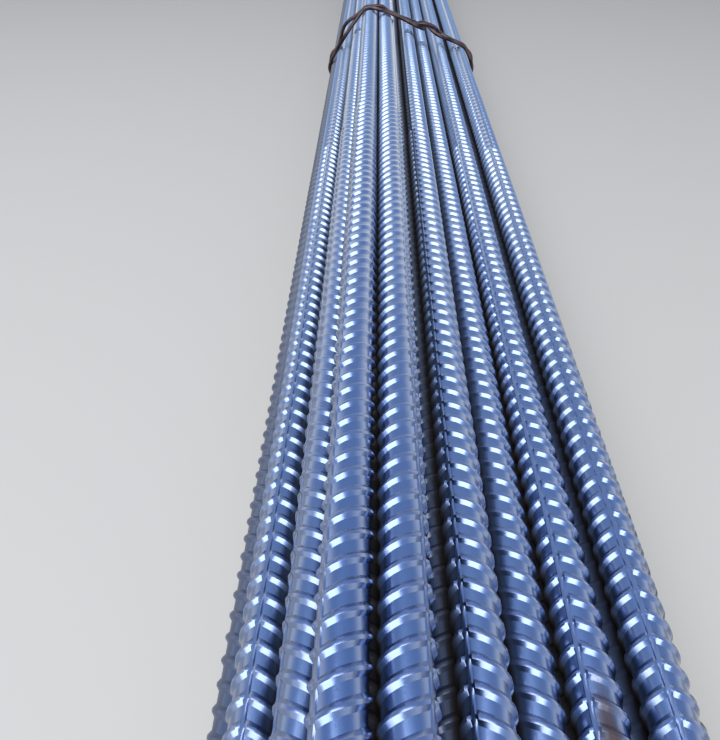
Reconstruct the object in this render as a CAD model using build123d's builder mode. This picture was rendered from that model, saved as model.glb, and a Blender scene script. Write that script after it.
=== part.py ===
from build123d import *
from math import hypot, sqrt
import os

# Bundle of reinforcing bars, millimetres, Z up, bars along Y.
# The origin is on the floor, under the middle of the bundle.

# The bars
bar_diameter = 25.0
bar_length = 6000.0
bar_clearance = 0.5    # between two bars that lie against each other
end_scatter = 14.0     # how far a bar may stick out past the bundle's mean end

# The tie wires
wire_diameter = 6.0
wire_sides = 6         # the round wire is drawn with this many flats
wire_seat = 0.3        # between the wire and the bars that it is drawn round
strand_gap = 0.4       # between the two strands, side by side
tie_spacing = 2100.0
tie_count = 3

# The hand-made closure of a tie: a bight, with the two free ends drawn over it
eye_width = 22.5
eye_length = 34.0
free_length = 40.0
tail_length = 17.0
knot_lift = 1.9        # how loosely one strand lies over another in the closure
knot_bend = 7.5        # radius that the wire is bent to by hand
knot_place = 0.46      # along the tie's longest span, from its upper end

# How the bars lie, in shares of the distance between two bars that touch
floor_steps = (1.03, 1.12, 1.02, 1.10, 1.04)
spread = 0.54          # how far each of the next rows reaches out past the row below
growing_rows = 3

# Where the loose bars of the crown were laid on, from the bundle's middle
crown = {
    5: (-3.80, -2.35, -1.33, -0.30, 1.35, 2.48, 3.82),
    6: (-2.82, -1.84, 0.30),
    7: (-2.17, -1.10),
}

# Shares of end_scatter, taken in turn by the bars
scatter_pattern = (0.1, 0.7, -0.4, 1.0, -0.2, -1.0, 0.4, -0.6, 0.2)

pitch = bar_diameter + bar_clearance
lane = (wire_diameter + strand_gap) / 2
wrap_radius = bar_diameter / 2 + wire_seat + wire_diameter / 2
floor_height = wire_diameter / 2 + wrap_radius
least_turn = 0.001     # bars nearer to in line than this count as in line


def height_on(x, laid):
    """Height at which a bar dropped at x comes to rest on those already laid."""
    height = floor_height
    for other_x, other_z in laid:
        aside = abs(x - other_x)
        if aside < pitch:
            height = max(height, other_z + sqrt(pitch**2 - aside**2))
    return height


def row_above(row):
    """Bars in the hollows of the row below, and one more out at each side."""
    hollows = [(left + right) / 2 for left, right in zip(row, row[1:])]
    return [row[0] - spread * pitch, *hollows, row[-1] + spread * pitch]


def lay_bars():
    """Centres of all bars, layer by layer from the floor up."""
    row = [0.0]
    for step in floor_steps:
        row.append(row[-1] + step * pitch)
    middle = (row[0] + row[-1]) / 2
    rows = [[x - middle for x in row]]
    for _ in range(growing_rows):
        rows.append(row_above(rows[-1]))
    for places in crown.values():
        rows.append([share * pitch for share in places])
    laid = []
    layers = []
    for row in rows:
        layer = []
        for x in row:
            centre = (x, height_on(x, laid))
            layer.append(centre)
            laid.append(centre)
        layers.append(layer)
    return layers


def outer_bars(centres):
    """The bars that a wire drawn tight touches, clockwise seen along Y."""
    ordered = sorted(centres)
    hull = []
    for chain in (ordered, ordered[::-1]):
        side = []
        for x, z in chain:
            while len(side) > 1:
                (x1, z1), (x2, z2) = side[-2:]
                turn = (x2 - x1) * (z - z1) - (z2 - z1) * (x - x1)
                if turn < -least_turn * pitch**2:
                    break
                side.pop()
            side.append((x, z))
        hull += side[:-1]
    return hull


def wrap_corners(hull):
    """Corners of the polygon whose rounded form lies round the outer bars."""
    corners = []
    for before, bar, after in zip([hull[-1], *hull], hull, [*hull[1:], hull[0]]):
        lines = []
        for start, end in ((before, bar), (bar, after)):
            length = hypot(end[0] - start[0], end[1] - start[1])
            out = (-(end[1] - start[1]) / length, (end[0] - start[0]) / length)
            lines.append((out, out[0] * bar[0] + out[1] * bar[1] + wrap_radius))
        ((a, b), p), ((c, d), q) = lines
        cross = a * d - b * c
        corners.append(((p * d - q * b) / cross, (q * a - p * c) / cross))
    return corners


def tie_route(corners, y):
    """Corner points and bend radii of one tie wire, from free end to free end."""
    spans = zip(corners, [*corners[1:], corners[0]])
    upper = [(start, end) for start, end in spans if end[0] > start[0]]
    longest = max(upper, key=lambda s: hypot(s[1][0] - s[0][0], s[1][1] - s[0][1]))
    (x1, z1), (x2, z2) = longest
    length = hypot(x2 - x1, z2 - z1)
    along = ((x2 - x1) / length, (z2 - z1) / length)
    first = corners.index(longest[1])
    around = corners[first:] + corners[:first]
    over = wire_diameter + strand_gap

    def knot_point(forward, aside, up):
        run = knot_place * length + forward
        x = x1 + along[0] * run - along[1] * up
        z = z1 + along[1] * run + along[0] * up
        return (x, y + aside, z)

    def half(side, crossing_up):
        cross_over = free_length / 2
        free_end = [
            knot_point(-tail_length, -side * lane, -wire_diameter / 2),
            knot_point(0, -side * over, over + knot_lift),
            knot_point(cross_over - lane, 0, crossing_up),
            knot_point(cross_over + eye_width / 2, side * eye_width / 2, 0),
            knot_point(free_length + eye_width / 4, side * lane, 0),
        ]
        ring = [(x, y + side * lane, z) for x, z in around]
        eye = [
            knot_point(-eye_length - lane, side * lane, 0),
            knot_point(-eye_length / 2, side * eye_width / 2, 0),
            knot_point(wire_diameter / 2, side * eye_width * 0.45, 0),
        ]
        points = free_end + ring + eye
        radii = [knot_bend] * len(free_end) + [wrap_radius] * len(ring) + [knot_bend] * len(eye)
        return points, radii

    there, there_radii = half(1, over + knot_lift)
    back, back_radii = half(-1, 0)
    points = there + back[::-1]
    radii = there_radii + back_radii[::-1]
    return points, radii[1:-1]


layers = lay_bars()
centres = [centre for layer in layers for centre in layer]
os.makedirs("parts", exist_ok=True)

# The bars, one file for each layer, each bar a solid of its own
bar_number = 0
for number, layer in enumerate(layers, start=1):
    with BuildPart() as bars:
        for x, z in layer:
            shift = end_scatter * scatter_pattern[bar_number % len(scatter_pattern)]
            bar_number += 1
            near_end = Plane((x, shift - bar_length / 2, z), x_dir=(1, 0, 0), z_dir=(0, 1, 0))
            with BuildSketch(near_end):
                Circle(bar_diameter / 2)
            extrude(amount=bar_length)
    bars.part.label = f"bar_layer_{number}"
    export_step(bars.part, f"parts/{bars.part.label}.step")

# The tie wires, drawn round the outer bars
corners = wrap_corners(outer_bars(centres))
for number in range(tie_count):
    tie_y = (number - (tie_count - 1) / 2) * tie_spacing
    points, radii = tie_route(corners, tie_y)
    with BuildPart() as tie:
        with BuildLine() as route:
            FilletPolyline(*points, radius=radii)
        with BuildSketch(Plane(route.wire() @ 0, z_dir=route.wire() % 0)):
            RegularPolygon(wire_diameter / 2, wire_sides)
        sweep(path=route.wire())
    tie.part.label = f"tie_wire_{number + 1}"
    export_step(tie.part, f"parts/{tie.part.label}.step")
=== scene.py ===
import math
import random

import bmesh
import bpy
import numpy as np
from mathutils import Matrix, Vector


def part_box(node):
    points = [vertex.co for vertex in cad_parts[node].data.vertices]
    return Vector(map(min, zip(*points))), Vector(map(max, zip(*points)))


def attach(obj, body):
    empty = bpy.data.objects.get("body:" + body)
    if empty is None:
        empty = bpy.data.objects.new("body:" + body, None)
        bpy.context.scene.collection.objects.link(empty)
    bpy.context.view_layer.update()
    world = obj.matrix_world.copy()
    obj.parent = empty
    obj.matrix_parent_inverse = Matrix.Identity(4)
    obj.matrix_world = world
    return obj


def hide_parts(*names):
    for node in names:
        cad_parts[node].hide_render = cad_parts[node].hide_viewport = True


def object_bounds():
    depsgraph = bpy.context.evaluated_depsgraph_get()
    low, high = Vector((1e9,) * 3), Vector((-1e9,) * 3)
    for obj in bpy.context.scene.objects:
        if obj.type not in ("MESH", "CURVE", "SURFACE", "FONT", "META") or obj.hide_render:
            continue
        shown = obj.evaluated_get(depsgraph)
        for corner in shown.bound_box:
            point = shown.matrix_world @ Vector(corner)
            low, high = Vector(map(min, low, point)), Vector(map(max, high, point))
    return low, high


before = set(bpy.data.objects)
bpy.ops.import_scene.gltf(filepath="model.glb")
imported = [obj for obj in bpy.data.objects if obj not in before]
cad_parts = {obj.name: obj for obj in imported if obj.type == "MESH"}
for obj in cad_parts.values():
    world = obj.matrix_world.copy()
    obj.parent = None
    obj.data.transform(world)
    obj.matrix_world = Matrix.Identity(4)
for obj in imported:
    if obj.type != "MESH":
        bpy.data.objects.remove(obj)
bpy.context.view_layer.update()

# A bundle of ribbed bars. Metres, Z up, bars along Y, the middle tie at Y = 0.


# Where the bars lie, read from the frame

weldDistance = 1e-6         # points of the CAD mesh that are nearer than this are one


def readBars(node):     # the bars of one layer, each an island of its mesh, from -X to +X
    solid = bmesh.new()
    solid.from_mesh(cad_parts[node].data)
    bmesh.ops.remove_doubles(solid, verts=solid.verts[:], dist=weldDistance)
    bars, seen = [], set()
    for first in solid.verts:
        if first in seen:
            continue
        island, waiting = [], [first]
        seen.add(first)
        while waiting:
            vert = waiting.pop()
            island.append(vert.co[:])
            for edge in vert.link_edges:
                other = edge.other_vert(vert)
                if other not in seen:
                    seen.add(other)
                    waiting.append(other)
        low, high = np.min(island, axis=0), np.max(island, axis=0)
        x, z = (low[0] + high[0]) / 2, (low[2] + high[2]) / 2
        bars.append({"x": x, "z": z, "start": low[1], "end": high[1], "radius": (high[0] - low[0]) / 2})
    solid.free()
    bars.sort(key=lambda bar: bar["x"])
    for place, bar in enumerate(bars):
        bar["key"] = (int(node.split("_")[-1]), place)
    return bars


barNodes = sorted(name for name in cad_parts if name.startswith("bar_layer"))
tieNodes = sorted(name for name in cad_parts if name.startswith("tie_wire"))
layers = {node: readBars(node) for node in barNodes}
allBars = [bar for bars in layers.values() for bar in bars]
print("bars read:", len(allBars))


# The ribbed bar. A bar's key is its layer and its place in it, from -X.

barLook = {
    "coreRadius": 0.01150,
    "ribHeight": 0.00180,
    "ribPitch": 0.0120,
    "ribSlant": 0.36,           # how far a rib runs along the bar, for each metre round it
    "ridgeHeight": 0.00080,
    "ridgeTop": 4.0,            # half of its width, degrees round the bar
    "ridgeBase": 7.0,
    "ribFull": 10.5,            # where a rib has its full height, degrees from the ridge
    "ribAtRidge": 0.55,         # share of a rib's height left where it runs into the ridge
    "ribbedEnd": 0.16,          # how far the ribs of a buried bar are drawn from its ends
    "roundEnd": 0.018,          # how far from its ends a bar has all its columns of points
    "firstColumn": 12,          # degrees from the ridge to the first column of the flank
    "columnStep": 13,           # degrees from there to the next one
    "shadeFadeEnd": 0.05,           # less painted shade than this far from an end
    "endPaintedShade": 0.3,            # share of the painted shade that is left at the very end
    "lowShade": ((0.02, 0.095, 0.112), (0.80, 0.74, 0.45)),     # heights, and the painted shade there at least: darker towards the bottom
    "cutTilt": 0.06,
    "cutRim": 0.0009,
    "sections": {               # of a rib: metres along the bar, share of its height
        "near": ((-0.0031, 0), (-0.0009, 0.93), (0, 1), (0.0009, 0.93), (0.0031, 0)),
        "middle": ((-0.0027, 0), (-0.0007, 0.98), (0.0007, 0.98), (0.0027, 0)),
        "plain": ((-0.0022, 0), (0, 1), (0.0024, 0)),
        "nearHalf": ((-0.0024, 0), (0, 1)),     # one steep side, towards the nearer end
        "farHalf": ((0, 1), (0.0024, 0)),
    },
    # The crown's sections, and the Y from which each is used
    "zones": (("plain", -9.0), ("near", -1.075), ("middle", -0.60), ("plain", -0.42)),
    "viewStretch": (-1.10, -0.30),      # Y between which one sees into the gaps
    # Which way the ridge that the ribs point to is turned, degrees from the top towards +X
    "turns": {
        (5, 0): -14, (5, 4): -88, (5, 5): -31, (5, 6): -11,
        (6, 0): -70, (6, 2): -38,
        (7, 0): 130, (7, 1): 50,
    },
    # 0 is the bluest
    "tones": {(5, 4): 0.75, (5, 5): 0.35, (6, 0): 0.7, (6, 2): 0.6, (7, 0): 0.0, (7, 1): 0.3},
}

# How open a bar lies: fans of lines run out from its surface, past the other bars or into them
sight = {
    "turnStep": 10,             # degrees round the bar from fan to fan
    "leanStep": 15,             # degrees from line to line in a fan
    "leanMost": 60,
    "gapWays": 12,              # a bar with no more open fans than this is only seen through a gap
    "seenMargin": 8,            # a column this near to an open fan is seen, degrees
}

dice = random.Random(7)


def openShares(bar):
    # For each fan, the share of its lines that meet no other bar
    others = np.array([
        (other["x"] - bar["x"], other["z"] - bar["z"]) for other in allBars if other is not bar])
    leans = range(-sight["leanMost"], sight["leanMost"] + 1, sight["leanStep"])
    shares = []
    for turn in range(0, 360, sight["turnStep"]):
        angle = math.radians(turn)
        away = others - np.array((math.sin(angle), math.cos(angle))) * bar["radius"]
        free = 0
        for lean in leans:
            ray = np.array((math.sin(angle + math.radians(lean)), math.cos(angle + math.radians(lean))))
            aside = np.abs(away[:, 0] * ray[1] - away[:, 1] * ray[0])
            free += not np.any((away @ ray > 0) & (aside < bar["radius"]))
        shares.append(free / len(leans))
    return shares


def kindOf(bar):        # what one sees of it, by which its ribs are drawn
    if not bar["ways"]:
        return "buried"
    if len(bar["ways"]) <= sight["gapWays"]:
        return "gap"
    if bar["z"] > crownHeight:
        return "crown"
    return "under" if all(90 <= way <= 270 for way in bar["ways"]) else "flank"


def ringColumns(bar):
    # Degrees from the ridge: all round for the ends, then where it is seen, then sparsely
    base, top = barLook["ridgeBase"], barLook["ridgeTop"]
    ridge = [(-base, 2), (-top, 1), (0, 3), (top, 1), (base, 2)]
    ranks = (1, 2, 1, 3)        # 3 is a column of every ring, 1 only of the finest
    places = range(barLook["firstColumn"], 180, barLook["columnStep"])
    flank = [(degrees, ranks[number % 4]) for number, degrees in enumerate(places)]
    half = ridge + flank
    allRound = half + [(degrees + 180, rank) for degrees, rank in half]

    def isSeen(degrees):
        turn = (bar["turn"] + degrees) % 360
        return any(abs((turn - way + 180) % 360 - 180) <= sight["seenMargin"] for way in bar["ways"])

    return {
        "end": [degrees for degrees, rank in allRound],
        "near": [degrees for degrees, rank in allRound if rank == 3 or isSeen(degrees)],
        "far": [degrees for degrees, rank in allRound
                if rank == 3 or rank == 2 and isSeen(degrees) and bar["kind"] != "under"],
    }


def ribRows(bar):       # (Y, share of the rib's height, set of columns), from one end to the other
    pitch = barLook["ribPitch"]
    margin = barLook["ribSlant"] * bar["radius"] * math.pi / 2 + pitch
    y = bar["start"] - margin + bar["phase"] * pitch
    rows = [(bar["start"] - margin - pitch / 2, 0, "end")]
    while y < bar["end"] + margin:
        depth = min(y - bar["start"], bar["end"] - y)
        atEnd = depth < barLook["ribbedEnd"]
        inView = barLook["viewStretch"][0] < y < barLook["viewStretch"][1]
        if bar["kind"] == "crown" and not atEnd:
            section = [name for name, start in barLook["zones"] if y >= start][-1]
        elif inView or atEnd:
            section = "plain"
        else:
            section = "nearHalf" if y < 0 else "farHalf"
        columns = "near" if section in ("near", "middle") else "far"
        if depth < barLook["roundEnd"]:
            columns = "end"
        if atEnd or bar["kind"] in ("crown", "flank", "under") or inView and bar["kind"] == "gap":
            rows += [(y + shift, share, columns) for shift, share in barLook["sections"][section]]
        y += pitch
    rows.append((y - pitch / 2, 0, "end"))
    return rows


def barRing(bar, y, share, columns):
    degrees = np.array(columns, dtype=float)
    fromRidge = np.abs((degrees + 180) % 360 - 180)         # 0 at the ridge that the ribs point to
    nearest = np.minimum(fromRidge, 180 - fromRidge)        # from the nearer one of the two ridges
    top, base, full = barLook["ridgeTop"], barLook["ridgeBase"], barLook["ribFull"]
    ribShare = np.interp(nearest, (top, base, full), (0, barLook["ribAtRidge"], 1))
    ridge = np.interp(nearest, (top, base), (barLook["ridgeHeight"], 0))
    relief = np.maximum(barLook["ribHeight"] * ribShare * share, ridge)
    radius = barLook["coreRadius"] + relief
    turn = np.radians(bar["turn"] + degrees)
    along = y + barLook["ribSlant"] * bar["radius"] * (math.pi / 2 - np.radians(fromRidge))
    ring = np.stack([bar["x"] + radius * np.sin(turn), along, bar["z"] + radius * np.cos(turn)], axis=1)
    # ridge tops count as full crests, which gives a painted highlight along them
    crest = np.maximum(ribShare * share, ridge / barLook["ridgeHeight"])
    fans = range(0, 361, sight["turnStep"])
    openHere = np.interp(np.degrees(turn) % 360, fans, bar["open"] + bar["open"][:1])
    depth = min(y - bar["start"], bar["end"] - y)
    # painted shade: darker where other bars close in round the bar, less so near its ends
    shelter = (1 - openHere) * np.clip(depth / barLook["shadeFadeEnd"], barLook["endPaintedShade"], 1)
    return ring, crest, np.maximum(shelter, bar["lowShade"])


def joinRings(first, second, columns, nextColumns):
    # Faces between a ring of many columns and a sparser one, whose columns are all in the other
    faces = []
    many, few = (columns, nextColumns) if len(columns) > len(nextColumns) else (nextColumns, columns)
    marks = [many.index(degrees) for degrees in few]
    for place, mark in enumerate(marks):
        beside = (place + 1) % len(marks)
        count = (marks[beside] - mark) % len(many)
        edge = [(mark + step) % len(many) for step in range(count + 1)]
        if many is columns:
            faces.append([first + column for column in edge] + [second + beside, second + place])
        else:
            faces.append([first + place, first + beside] + [second + column for column in edge[::-1]])
    return faces


def barMesh(bar):
    columnSets = ringColumns(bar)
    points, crests, paintedShades, quads, others = [], [], [], [], []
    total, last = 0, None
    for y, share, chosen in ribRows(bar):
        columns = columnSets[chosen]
        ring, crest, paintedShade = barRing(bar, y, share, columns)
        points.append(ring)
        crests.append(crest)
        paintedShades.append(paintedShade)
        if last is not None:
            start, before = last
            if len(before) == len(columns):
                across = np.arange(len(columns))
                beside = (across + 1) % len(columns)
                corners = (start + across, start + beside, total + beside, total + across)
                quads.append(np.stack(corners, axis=1))
            else:
                others += joinRings(start, total, before, columns)
        last = (total, columns)
        total += len(columns)
    masks = {"crest": np.concatenate(crests), "paintedShade": np.concatenate(paintedShades)}
    return np.concatenate(points), masks, np.concatenate(quads), others


def meshFromArrays(name, points, quads, others):
    corners = np.concatenate([quads.ravel(), *[np.array(face) for face in others]]).astype(np.int32)
    counts = np.array([4] * len(quads) + [len(face) for face in others])
    starts = np.concatenate([[0], np.cumsum(counts)[:-1]]).astype(np.int32)
    mesh = bpy.data.meshes.new(name)
    mesh.vertices.add(len(points))
    mesh.vertices.foreach_set("co", points.ravel())
    mesh.loops.add(len(corners))
    mesh.loops.foreach_set("vertex_index", corners)
    mesh.polygons.add(len(counts))
    mesh.polygons.foreach_set("loop_start", starts)
    mesh.update(calc_edges=True)
    return mesh


def addPointMask(mesh, name, values):
    mask = mesh.attributes.new(name, "FLOAT", "POINT")
    mask.data.foreach_set("value", np.asarray(values, dtype=np.float32))


def cutEnds(mesh, bar):     # sheared square, nearly, with a rolled rim
    cutSlot = 1             # the cut face is a bar's second material
    solid = bmesh.new()
    solid.from_mesh(mesh)
    for y, way in ((bar["start"], -1), (bar["end"], 1)):
        tilt = [dice.uniform(-1, 1) * barLook["cutTilt"] for _ in range(2)]
        plane = Vector((tilt[0], way, tilt[1])).normalized()
        cut = bmesh.ops.bisect_plane(
            solid, geom=solid.verts[:] + solid.edges[:] + solid.faces[:], plane_co=(bar["x"], y, bar["z"]),
            plane_no=plane, clear_outer=True)
        rim = [item for item in cut["geom_cut"] if isinstance(item, bmesh.types.BMEdge)]
        faces = bmesh.ops.edgeloop_fill(solid, edges=rim, mat_nr=cutSlot)["faces"]
        for face in faces:
            face.normal_update()
            if face.normal.dot(plane) < 0:
                face.normal_flip()
        bmesh.ops.inset_region(solid, faces=faces, thickness=barLook["cutRim"], depth=barLook["cutRim"] / 2)
    solid.to_mesh(mesh)
    solid.free()


crownHeight = max(bar["z"] for bar in allBars) / 2
for bar in allBars:
    bar["open"] = openShares(bar)
    bar["ways"] = [sight["turnStep"] * fan for fan, share in enumerate(bar["open"]) if share > 0]
    bar["kind"] = kindOf(bar)
    bar["turn"] = barLook["turns"].get(bar["key"], dice.uniform(0, 360))
    bar["phase"] = dice.random()
    bar["tone"] = barLook["tones"].get(bar["key"], dice.random())
    # painted shade, darker for the lower layers
    bar["lowShade"] = float(np.interp(bar["z"], *barLook["lowShade"]))


# The tie wires

tieLook = {
    "wireRadius": 0.0029,
    "sides": 12,
    "strandGap": 0.0004,
    "arcStep": 15.0,            # degrees
    "spanStep": 0.014,
    "spread": 0.0085,           # how far the two strands part between two bars, at most
    "leastSpread": 0.2,         # share of that which they part at least
    "sway": 0.0030,
    "slack": (0.0110, 0.0020),  # how far the long upper runs of the two strands stand off the bars
    "shortRun": 0.06,           # a run shorter than this parts, sways and stands off less
    "knotPlace": 0.46,          # along the longest upper span
    "eyeWidth": 0.0225,
    "eyeTip": 0.45,             # where the eye closes, its half width as a share of the whole
    "eyeLength": 0.034,
    "freeLength": 0.040,
    "tailLength": 0.017,
    "tailDrop": 0.5,            # how far a free end dips, in wire radii
    "lift": 0.0019,
    "smoothings": 2,
    "endSize": 0.72,            # of the wire's ends, as they are cropped
    "seed": 20,
}


def outerBars(bars):    # the bars that a tight wire touches, clockwise seen along Y
    leastTurn = 1e-6    # square metres, less counts as in line
    ordered = sorted((bar["x"], bar["z"]) for bar in bars)
    hull = []
    for chain in (ordered, ordered[::-1]):
        side = []
        for x, z in chain:
            while len(side) > 1:
                (x1, z1), (x2, z2) = side[-2:]
                if (x2 - x1) * (z - z1) - (z2 - z1) * (x - x1) < -leastTurn:
                    break
                side.pop()
            side.append((x, z))
        hull += side[:-1]
    return [np.array(bar) for bar in hull]


def wrapSpans(hull, reach):     # straight runs between the arcs: (start, end, outward direction)
    spans = []
    for bar, after in zip(hull, hull[1:] + hull[:1]):
        along = (after - bar) / np.linalg.norm(after - bar)
        out = np.array((-along[1], along[0]))
        spans.append((bar + out * reach, after + out * reach, out))
    return spans


def smoothCorners(points, times):       # cuts each corner off, a quarter of the way along its sides
    for _ in range(times):
        quarter = points[:-1] * 0.75 + points[1:] * 0.25
        threeQuarters = points[:-1] * 0.25 + points[1:] * 0.75
        inner = np.stack([quarter, threeQuarters], axis=1).reshape(-1, 3)
        points = np.concatenate([points[:1], inner, points[-1:]])
    return points


def tieRoute(tieY, wander):     # the centre line of one tie's wire, from free end to free end
    reach = barLook["coreRadius"] + barLook["ribHeight"] + tieLook["wireRadius"]
    lane = tieLook["wireRadius"] + tieLook["strandGap"] / 2
    over = 2 * lane
    hull = outerBars(allBars)
    spans = wrapSpans(hull, reach)
    lengths = [np.linalg.norm(end - start) if end[0] > start[0] else 0 for start, end, out in spans]
    longest = int(np.argmax(lengths))
    start, end, out = spans[longest]
    along = (end - start) / lengths[longest]
    around = spans[longest + 1:] + spans[:longest]
    centres = hull[longest + 1:] + hull[:longest + 1]
    length = lengths[longest]

    def knotPoint(forward, aside, up):
        place = start + along * (tieLook["knotPlace"] * length + forward) + out * up
        return (place[0], tieY + aside, place[1])

    def arcPoints(centre, first, last, y):      # clockwise seen along Y
        angles = [math.atan2(*out) for out in (first, last)]
        sweep = (angles[1] - angles[0]) % (2 * math.pi)
        count = max(2, round(math.degrees(sweep) / tieLook["arcStep"]) + 1)
        turns = angles[0] + np.linspace(0, sweep, count)
        return [(centre[0] + reach * math.sin(turn), y, centre[1] + reach * math.cos(turn)) for turn in turns]

    def ringPoints(side):
        y = tieY + side * lane
        slack = tieLook["slack"][0 if side > 0 else 1]
        outs = [out] + [span[2] for span in around] + [out]
        points = arcPoints(centres[0], outs[0], outs[1], y)
        for place, (spanStart, spanEnd, spanOut) in enumerate(around):
            runLength = np.linalg.norm(spanEnd - spanStart)
            steps = max(2, round(runLength / tieLook["spanStep"]))
            play = min(1, runLength / tieLook["shortRun"])
            part = wander.uniform(tieLook["leastSpread"], 1) * tieLook["spread"] * play
            sway = wander.uniform(-1, 1) * tieLook["sway"] * play
            for step in range(1, steps):
                share = step / steps
                bulge = math.sin(math.pi * share) ** 2
                loose = slack * play * bulge if spanOut[1] > 0 else 0
                spot = spanStart + (spanEnd - spanStart) * share + spanOut * loose
                points.append((spot[0], y + bulge * (side * part + sway), spot[1]))
            points += arcPoints(centres[place + 1], outs[place + 1], outs[place + 2], y)
        return points

    def half(side, crossingUp):
        crossOver = tieLook["freeLength"] / 2
        freeEnd = [
            knotPoint(-tieLook["tailLength"], -side * lane, -tieLook["tailDrop"] * tieLook["wireRadius"]),
            knotPoint(0, -side * over, over + tieLook["lift"]),
            knotPoint(crossOver - lane, 0, crossingUp),
            knotPoint(crossOver + tieLook["eyeWidth"] / 2, side * tieLook["eyeWidth"] / 2, 0),
            knotPoint(tieLook["freeLength"] + tieLook["eyeWidth"] / 4, side * lane, 0),
        ]
        eye = [
            knotPoint(-tieLook["eyeLength"] - lane, side * lane, 0),
            knotPoint(-tieLook["eyeLength"] / 2, side * tieLook["eyeWidth"] / 2, 0),
            knotPoint(tieLook["wireRadius"], side * tieLook["eyeWidth"] * tieLook["eyeTip"], 0),
        ]
        return np.array(freeEnd), np.array(ringPoints(side)), np.array(eye)

    freeOne, ringOne, eyeOne = half(1, over + tieLook["lift"])
    freeTwo, ringTwo, eyeTwo = half(-1, 0)
    times = tieLook["smoothings"]
    stretches = [
        smoothCorners(np.concatenate([freeOne, ringOne[:1]]), times),
        ringOne[1:-1],
        smoothCorners(np.concatenate([ringOne[-1:], eyeOne, eyeTwo[::-1], ringTwo[-1:]]), times),
        ringTwo[1:-1][::-1],
        smoothCorners(np.concatenate([ringTwo[:1], freeTwo[::-1]]), times),
    ]
    return smoothCorners(np.concatenate(stretches), 1)


def wireMesh(name, route):
    sides, radius = tieLook["sides"], tieLook["wireRadius"]
    ahead = np.diff(route, axis=0)
    ahead /= np.linalg.norm(ahead, axis=1)[:, None]
    heading = np.concatenate([ahead[:1], ahead[:-1] + ahead[1:], ahead[-1:]])
    heading /= np.linalg.norm(heading, axis=1)[:, None]
    across = np.cross(heading[0], (0, 0, 1))
    turns = np.linspace(0, 2 * math.pi, sides, endpoint=False)
    rings, size = [], [tieLook["endSize"]] + [1] * (len(route) - 2) + [tieLook["endSize"]]
    for place, spot in enumerate(route):
        across = across - heading[place] * np.dot(across, heading[place])
        across /= np.linalg.norm(across)
        up = np.cross(across, heading[place])
        circle = np.outer(np.cos(turns), across) + np.outer(np.sin(turns), up)
        rings.append(spot + radius * size[place] * circle)
    around = np.arange(sides)
    beside = (around + 1) % sides
    base = np.arange(len(route) - 1)[:, None] * sides
    corners = (base + around, base + sides + around, base + sides + beside, base + beside)
    quads = np.stack(corners, axis=-1).reshape(-1, 4)
    last = (len(route) - 1) * sides
    caps = [list(range(sides)), [last + side for side in range(sides)][::-1]]
    return meshFromArrays(name, np.concatenate(rings), quads, caps)


# Shared shader effects, as node groups

patternLook = {                 # limits are of the noise: none of the pattern below, all of it above
    "patchLimits": (0.3, 0.7),
    "grainScale": 900.0,
    "speckScale": 260.0,
    "speckLimits": (0.58, 0.70),
    "stainScale": 14.0,
    "stainLimits": (0.46, 0.70),
    "tear": 1.2,                # how much the specks break up a painted stain
    "tornLimits": (0.85, 1.35),
}


def addNode(tree, kind, **settings):
    made = tree.nodes.new("ShaderNode" + kind)
    for name, value in settings.items():
        if name in made.inputs:
            made.inputs[name].default_value = value
        else:
            setattr(made, name, value)
    return made


def feed(tree, socket, source):     # a link, or a value set on the socket itself
    if isinstance(source, bpy.types.NodeSocket):
        tree.links.new(source, socket)
    else:
        socket.default_value = source


def calculate(tree, operation, *sources):
    made = addNode(tree, "Math", operation=operation)
    for socket, source in zip(made.inputs, sources):
        feed(tree, socket, source)
    return made.outputs[0]


def mixColours(tree, factor, first, second):
    made = addNode(tree, "Mix", data_type="RGBA")
    for socket, source in zip((0, 6, 7), (factor, first, second)):
        feed(tree, made.inputs[socket], source)
    return made.outputs[2]


def mixValues(tree, factor, first, second):
    made = addNode(tree, "Mix", data_type="FLOAT")
    for socket, source in zip((0, 2, 3), (factor, first, second)):
        feed(tree, made.inputs[socket], source)
    return made.outputs[0]


def ramp(tree, limits, source):     # 0 below the lower limit, 1 above the upper one
    made = addNode(tree, "MapRange", interpolation_type="SMOOTHSTEP")
    made.inputs["From Min"].default_value, made.inputs["From Max"].default_value = limits
    tree.links.new(source, made.inputs["Value"])
    return made.outputs["Result"]


def newGroup(name, inputs, outputs):
    tree = bpy.data.node_groups.new(name, "ShaderNodeTree")
    for socket, value in inputs.items():
        made = tree.interface.new_socket(socket, in_out="INPUT", socket_type="NodeSocketFloat")
        made.default_value = value
    for socket in outputs:
        tree.interface.new_socket(socket, in_out="OUTPUT", socket_type="NodeSocketFloat")
    return tree, tree.nodes.new("NodeGroupInput").outputs, tree.nodes.new("NodeGroupOutput").inputs


def useGroup(tree, group, values):
    made = tree.nodes.new("ShaderNodeGroup")
    made.node_tree = group
    for name, value in values.items():
        made.inputs[name].default_value = value
    return made


def makeClouds():       # soft patches drawn out along the bars, and a fine grain
    tree, given, out = newGroup("scaleClouds", {"Size": 12.0, "Draw Out": 0.25}, ("Patches", "Grain"))
    place = addNode(tree, "TexCoord").outputs["Object"]
    stretch = addNode(tree, "CombineXYZ", X=1.0, Z=1.0)
    tree.links.new(given["Draw Out"], stretch.inputs["Y"])
    squeezed = addNode(tree, "VectorMath", operation="MULTIPLY")
    tree.links.new(place, squeezed.inputs[0])
    tree.links.new(stretch.outputs[0], squeezed.inputs[1])
    patches = addNode(tree, "TexNoise", Detail=3.0, Roughness=0.55)
    tree.links.new(squeezed.outputs[0], patches.inputs["Vector"])
    tree.links.new(given["Size"], patches.inputs["Scale"])
    grain = addNode(tree, "TexNoise", Scale=patternLook["grainScale"], Detail=2.0)
    tree.links.new(place, grain.inputs["Vector"])
    tree.links.new(ramp(tree, patternLook["patchLimits"], patches.outputs["Fac"]), out["Patches"])
    tree.links.new(grain.outputs["Fac"], out["Grain"])
    return tree


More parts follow.
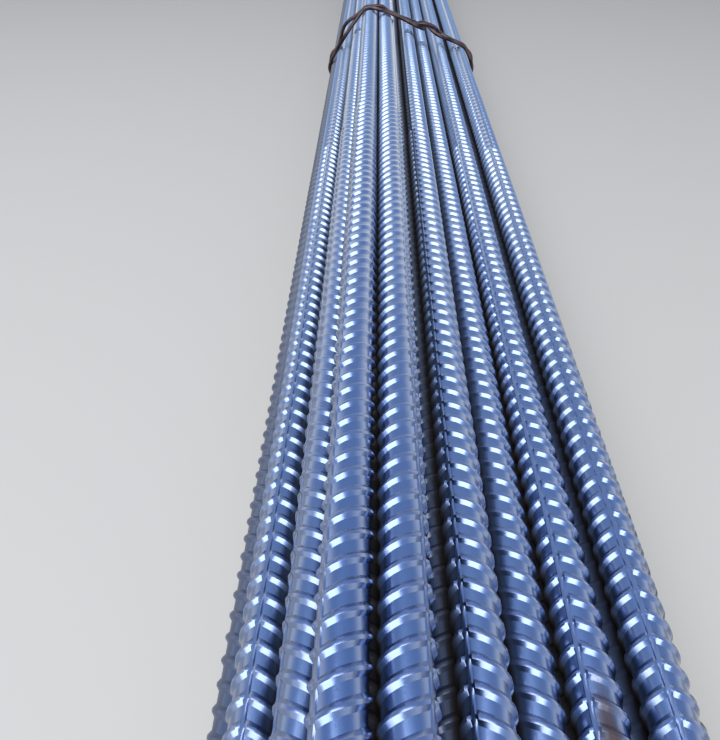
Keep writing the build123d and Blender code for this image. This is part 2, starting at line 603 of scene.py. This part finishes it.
def makeRust():         # a mask of specks and a few larger stains
    tree, given, out = newGroup("rustMask", {"Amount": 0.3, "Painted": 0.0}, ("Mask", "Tone"))
    look = patternLook
    place = addNode(tree, "TexCoord").outputs["Object"]
    speckNoise = addNode(tree, "TexNoise", Scale=look["speckScale"], Detail=4.0, Roughness=0.65)
    stainNoise = addNode(tree, "TexNoise", Scale=look["stainScale"], Detail=4.0, Roughness=0.6)
    for noise in (speckNoise, stainNoise):
        tree.links.new(place, noise.inputs["Vector"])
    specks, stains = speckNoise.outputs["Fac"], stainNoise.outputs["Fac"]
    speckled = calculate(
        tree, "MULTIPLY", ramp(tree, look["speckLimits"], specks), ramp(tree, look["stainLimits"], stains))
    weighed = calculate(tree, "MULTIPLY", speckled, given["Amount"])
    torn = calculate(tree, "MULTIPLY_ADD", specks, look["tear"], given["Painted"])
    painted = calculate(tree, "MULTIPLY", ramp(tree, look["tornLimits"], torn), given["Painted"])
    tree.links.new(calculate(tree, "MAXIMUM", weighed, painted), out["Mask"])
    tree.links.new(specks, out["Tone"])
    return tree


def newMaterial(name):
    material = bpy.data.materials.new(name)
    material.use_nodes = True
    tree = material.node_tree
    return material, tree, tree.nodes["Principled BSDF"]


def newSteel(name, look, clouds, rust):
    # A material with the group of patches and grain, and the rust mask, as its look sets them
    material, tree, shader = newMaterial(name)
    patterns = useGroup(tree, clouds, {"Size": look["patchSize"], "Draw Out": look["drawOut"]})
    rusting = useGroup(tree, rust, {"Amount": look["rust"]})
    strength, distance = look["grain"]
    bump = addNode(tree, "Bump", Strength=strength, Distance=distance)
    tree.links.new(patterns.outputs["Grain"], bump.inputs["Height"])
    tree.links.new(bump.outputs["Normal"], shader.inputs["Normal"])
    return material, tree, shader, patterns.outputs["Patches"], rusting


def colourSteel(tree, shader, look, rusting, colour, metallic):     # the steel, and rust over it
    mask, tone = rusting.outputs["Mask"], rusting.outputs["Tone"]
    rustTone = mixColours(tree, tone, look["rustDark"], look["rustPale"])
    tree.links.new(mixColours(tree, mask, colour, rustTone), shader.inputs["Base Color"])
    tree.links.new(mixValues(tree, mask, metallic, look["rustMetallic"]), shader.inputs["Metallic"])


steelLook = {
    "deep": (0.026, 0.090, 0.280, 1),       # blue mill scale, its blue partly a painted reflection of a blue sky
    "pale": (0.060, 0.122, 0.290, 1),
    "patchSize": 11.0,
    "drawOut": 0.25,                        # of the patches, less is longer along the bar
    "toneShare": 0.5,                       # how much of the colour is one bar's own
    "wearAndHighlight": (0.078, 0.128, 0.295, 1),       # wear on the crests of ribs, and a painted highlight on the ridge tops
    "wearAndHighlightLimits": (0.5, 1.2),               # of the crest mask
    "paintedGlare": (0.520, 0.600, 0.680, 1),       # painted glare: the paler stretch about the middle tie, where the bars mirror a bright low sky
    "paintedGlarePlace": 0.20,                      # Y of its middle
    "paintedGlareReach": 0.85,
    "paintedGlareShare": 0.52,
    "paintedShade": (0.016, 0.012, 0.012, 1),      # painted shade between the bars, near black
    "paintedShadeLimits": (0.5, 0.95),
    "paintedShadeMetallic": 0.3,
    "paintedShadeRoughness": 0.75,
    "rust": 0.22,
    "rustDark": (0.024, 0.015, 0.018, 1),
    "rustPale": (0.070, 0.045, 0.048, 1),
    "rustMetallic": 0.15,
    "rustRoughness": 0.8,
    "metallic": 0.94,
    "roughness": (0.25, 0.33),
    "film": 1.0,                            # the thin film of oxide and oil that gives white glints
    "filmRoughness": 0.20,
    "filmIndex": 1.95,
    "grain": (0.2, 0.0002),                 # strength and height
}


def makeSteel(clouds, rust):
    look = steelLook
    material, tree, shader, patches, rusting = newSteel("millScaleSteel", look, clouds, rust)
    crest, paintedShade, stain, tone, paintedGlare = [
        addNode(tree, "Attribute", attribute_name=name).outputs["Fac"]
        for name in ("crest", "paintedShade", "stain", "tone", "paintedGlare")]
    tree.links.new(stain, rusting.inputs["Painted"])
    shade = mixValues(tree, look["toneShare"], patches, tone)
    scale = mixColours(tree, shade, look["deep"], look["pale"])
    wearAndHighlight = mixColours(tree, ramp(tree, look["wearAndHighlightLimits"], crest), scale, look["wearAndHighlight"])
    # painted glare about the middle tie
    glared = mixColours(tree, paintedGlare, wearAndHighlight, look["paintedGlare"])
    # painted shade in the gaps: near black, duller, and without the film
    shadedShare = ramp(tree, look["paintedShadeLimits"], paintedShade)
    colour = mixColours(tree, shadedShare, glared, look["paintedShade"])
    metallic = mixValues(tree, shadedShare, look["metallic"], look["paintedShadeMetallic"])
    colourSteel(tree, shader, look, rusting, colour, metallic)
    gloss = mixValues(tree, patches, *look["roughness"])
    dull = mixValues(tree, shadedShare, gloss, look["paintedShadeRoughness"])
    film = mixValues(tree, shadedShare, look["film"], 0.0)
    rusted = rusting.outputs["Mask"]
    tree.links.new(mixValues(tree, rusted, dull, look["rustRoughness"]), shader.inputs["Roughness"])
    tree.links.new(mixValues(tree, rusted, film, 0.0), shader.inputs["Coat Weight"])
    shader.inputs["Coat Roughness"].default_value = look["filmRoughness"]
    shader.inputs["Coat IOR"].default_value = look["filmIndex"]
    return material


cutLook = {
    "bright": (0.36, 0.37, 0.39, 1),
    "dull": (0.17, 0.15, 0.14, 1),
    "patchSize": 160.0,
    "drawOut": 1.0,
    "rust": 1.0,
    "rustDark": (0.10, 0.040, 0.020, 1),
    "rustPale": (0.30, 0.130, 0.060, 1),
    "rustMetallic": 0.1,
    "metallic": 0.9,
    "roughness": (0.38, 0.6),
    "grain": (0.5, 0.0004),
}


def makeCutFace(clouds, rust):
    look = cutLook
    material, tree, shader, patches, rusting = newSteel("shearedFace", look, clouds, rust)
    colour = mixColours(tree, patches, look["bright"], look["dull"])
    colourSteel(tree, shader, look, rusting, colour, look["metallic"])
    tree.links.new(mixValues(tree, patches, *look["roughness"]), shader.inputs["Roughness"])
    return material


wireLook = {
    "deep": (0.022, 0.014, 0.014, 1),
    "pale": (0.110, 0.072, 0.076, 1),
    "patchSize": 45.0,
    "drawOut": 1.0,
    "rust": 0.9,
    "rustDark": (0.070, 0.026, 0.014, 1),
    "rustPale": (0.220, 0.090, 0.045, 1),
    "rustMetallic": 0.1,
    "rustRoughness": 0.8,
    "metallic": 0.80,
    "roughness": (0.30, 0.46),
    "grain": (0.4, 0.0003),
}


def makeWire(clouds, rust):
    look = wireLook
    material, tree, shader, patches, rusting = newSteel("tieWireSteel", look, clouds, rust)
    colour = mixColours(tree, patches, look["deep"], look["pale"])
    colourSteel(tree, shader, look, rusting, colour, look["metallic"])
    gloss = mixValues(tree, patches, *look["roughness"])
    dull = mixValues(tree, rusting.outputs["Mask"], gloss, look["rustRoughness"])
    tree.links.new(dull, shader.inputs["Roughness"])
    return material


clouds, rust = makeClouds(), makeRust()
steel = makeSteel(clouds, rust)
cutFace = makeCutFace(clouds, rust)
tieSteel = makeWire(clouds, rust)
print("materials made")


# The pieces

pieceLook = {
    "sharpAngle": 30.0,         # degrees between two faces from which their edge is sharp
    "mostTriangles": 195000,    # a layer with more is made as two pieces
}

# The brown stain on one bar
stainLook = {
    "bar": (5, 5),
    "y": -1.045,
    "length": 0.030,
    "turn": 0.0,                # degrees from the top
    "width": 0.55,
}


def triangleCount(mesh):
    return sum(polygon.loop_total - 2 for polygon in mesh.polygons)


def joinPieces(name, meshes, materials):
    objects = []
    for mesh in meshes:
        for material in materials:
            mesh.materials.append(material)
        objects.append(bpy.data.objects.new(name, mesh))
        bpy.context.scene.collection.objects.link(objects[-1])
    with bpy.context.temp_override(active_object=objects[0], selected_editable_objects=objects):
        bpy.ops.object.join()
    piece = objects[0]
    piece.name = piece.data.name = name
    piece.data.polygons.foreach_set("use_smooth", [True] * len(piece.data.polygons))
    piece.data.set_sharp_from_angle(angle=math.radians(pieceLook["sharpAngle"]))
    return piece


def stainOn(bar, points):
    if bar["key"] != stainLook["bar"]:
        return np.zeros(len(points))
    turn = np.arctan2(points[:, 0] - bar["x"], points[:, 2] - bar["z"]) - math.radians(stainLook["turn"])
    apart = ((points[:, 1] - stainLook["y"]) / stainLook["length"]) ** 2 + (turn / stainLook["width"]) ** 2
    return np.exp(-apart)


def finishedBar(bar):
    points, masks, quads, others = barMesh(bar)
    mesh = meshFromArrays("bar", points, quads, others)
    masks["stain"] = stainOn(bar, points)
    masks["tone"] = np.full(len(points), bar["tone"])
    # painted glare: paler steel about the middle tie
    apart = (points[:, 1] - steelLook["paintedGlarePlace"]) / steelLook["paintedGlareReach"]
    masks["paintedGlare"] = steelLook["paintedGlareShare"] * np.exp(-apart ** 2)
    for name, values in masks.items():
        addPointMask(mesh, name, values)
    cutEnds(mesh, bar)
    return mesh


pieceTriangles = {}


def enterPiece(piece, node):
    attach(piece, "root")
    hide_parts(node)
    pieceTriangles[piece.name] = triangleCount(piece.data)


for node, bars in layers.items():
    meshes = [finishedBar(bar) for bar in bars]
    counts = [triangleCount(mesh) for mesh in meshes]
    groups = {node: meshes}
    if sum(counts) > pieceLook["mostTriangles"]:
        middle = int(np.argmin(np.abs(np.cumsum(counts) - sum(counts) / 2))) + 1
        groups = {node + "_left": meshes[:middle], node + "_right": meshes[middle:]}
    for name, group in groups.items():
        enterPiece(joinPieces("ribbed_" + name, group, (steel, cutFace)), node)

for number, node in enumerate(tieNodes):
    low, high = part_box(node)
    route = tieRoute((low.y + high.y) / 2, random.Random(tieLook["seed"] + number))
    enterPiece(joinPieces("wire_" + node, [wireMesh(node, route)], (tieSteel,)), node)
print("pieces made:", pieceTriangles, "in all", sum(pieceTriangles.values()))


# Floor, light and camera

studio = {
    "floorColour": (0.52, 0.52, 0.52, 1),
    "floorRoughness": 0.85,
    "floorSize": 40.0,
    "floorGap": 0.0003,                     # how far it lies below the part
    "background": (0.93, 0.94, 0.95, 1),    # what the camera sees past the floor
    "horizon": (1.40, 1.40, 1.38, 1),       # what shining surfaces mirror, low and high
    "zenith": (0.42, 0.59, 0.90, 1),
    "skyLimits": (0.15, 0.65),              # from how far up it turns from the one into the other
    "fill": (0.27, 0.28, 0.30, 1),          # what the world gives to dull surfaces
    "keyEnergy": 182.0,
    "keySize": (2.7, 4.8),
    "keyPlace": (-0.75, -2.41, 2.905),
    "keyAim": (-0.35, -0.76, -0.045),
}


def makeFloor():
    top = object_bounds()[0].z - studio["floorGap"]
    bpy.ops.mesh.primitive_plane_add(size=studio["floorSize"], location=(0, 0, top))
    floor = bpy.context.object
    floor.name = "floor"
    material, tree, shader = newMaterial("paleFloor")
    shader.inputs["Base Color"].default_value = studio["floorColour"]
    shader.inputs["Roughness"].default_value = studio["floorRoughness"]
    floor.data.materials.append(material)


def makeWorld():
    world = bpy.data.worlds.new("studio")
    bpy.context.scene.world = world
    world.use_nodes = True
    tree = world.node_tree
    tree.nodes.clear()
    output = addNode(tree, "OutputWorld")
    direction = addNode(tree, "TexCoord")
    split = addNode(tree, "SeparateXYZ")
    tree.links.new(direction.outputs["Generated"], split.inputs[0])
    upward = ramp(tree, studio["skyLimits"], split.outputs["Z"])
    sky = mixColours(tree, upward, studio["horizon"], studio["zenith"])
    path = addNode(tree, "LightPath")
    seen = mixColours(tree, path.outputs["Is Camera Ray"], sky, studio["background"])
    mirrored = calculate(tree, "MAXIMUM", path.outputs["Is Glossy Ray"], path.outputs["Is Transmission Ray"])
    whole = calculate(tree, "MAXIMUM", mirrored, path.outputs["Is Camera Ray"])
    background = addNode(tree, "Background")
    tree.links.new(mixColours(tree, whole, studio["fill"], seen), background.inputs["Color"])
    tree.links.new(background.outputs[0], output.inputs["Surface"])


def makeLamp(name):
    lamp = bpy.data.lights.new(name, "AREA")
    lamp.shape = "RECTANGLE"
    lamp.size, lamp.size_y = studio[name + "Size"]
    lamp.energy = studio[name + "Energy"]
    holder = bpy.data.objects.new(name, lamp)
    holder.location = studio[name + "Place"]
    towards = Vector(studio[name + "Aim"]) - holder.location
    holder.rotation_euler = towards.to_track_quat("-Z", "Y").to_euler()
    bpy.context.scene.collection.objects.link(holder)


cameraLook = {
    "place": (-0.0454, -1.124, 0.413),
    "down": 43.5,               # degrees below level
    "left": 1.34,               # degrees to the left of the bars' direction
    "focal": 590.0,             # in pixels of the frame, which is 740 high
    "frameHeight": 740.0,
    "sensor": 36.0,
    "nearest": 0.01,
}


def makeCamera():
    data = bpy.data.cameras.new("camera")
    data.sensor_width = cameraLook["sensor"]
    data.lens = cameraLook["focal"] / cameraLook["frameHeight"] * cameraLook["sensor"]
    data.clip_start = cameraLook["nearest"]
    camera = bpy.data.objects.new("camera", data)
    camera.location = cameraLook["place"]
    camera.rotation_euler = (math.radians(90 - cameraLook["down"]), 0, math.radians(cameraLook["left"]))
    bpy.context.scene.collection.objects.link(camera)
    bpy.context.scene.camera = camera


makeFloor()
makeWorld()
makeLamp("key")
makeCamera()
bpy.context.scene.view_settings.view_transform = "Standard"
print("stage, light and camera made")
